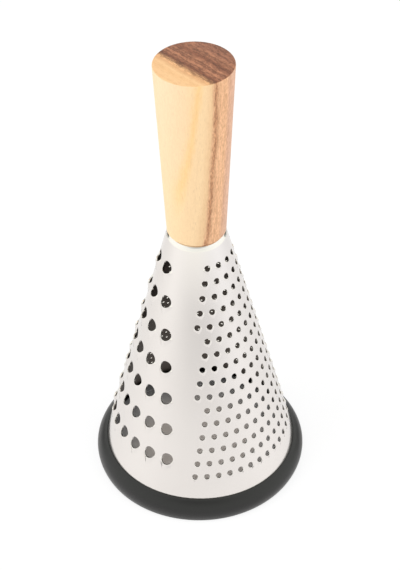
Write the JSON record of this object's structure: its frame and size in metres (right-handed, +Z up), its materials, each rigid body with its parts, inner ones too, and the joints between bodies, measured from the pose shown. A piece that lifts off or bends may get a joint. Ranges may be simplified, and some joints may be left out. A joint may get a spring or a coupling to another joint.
{
  "type": "three-sided grater",
  "caption": "Hand grater rolled into a cone with coarse, fine and extra-fine punched faces, a turned wooden handle on top and a rubber ring round its foot.",
  "frame": {"origin": "on the grater's axis, on the surface that the foot ring stands on", "axes": "+Z up along the axis, from the foot ring to the handle's flat top; -Y towards the front, where the coarse face is on the left and the fine face on the right"},
  "size_m": [0.114, 0.114, 0.25],
  "materials": {
    "stainless_sheet": "satin polished",
    "acacia_wood": "turned, sanded and oiled, pale sapwood against brown heartwood",
    "black_rubber": "matte moulded",
    "plate_steel": "as stamped",
    "washer_zinc": "zinc plated",
    "zinc_plated_steel": "zinc plated"
  },
  "bodies": {
    "root": {"grater_body": "stainless_sheet", "handle": "acacia_wood", "base_ring": "black_rubber", "clamp_plate": "plate_steel", "screw_washer": "washer_zinc", "handle_screw": "zinc_plated_steel"}
  },
  "joints": []
}
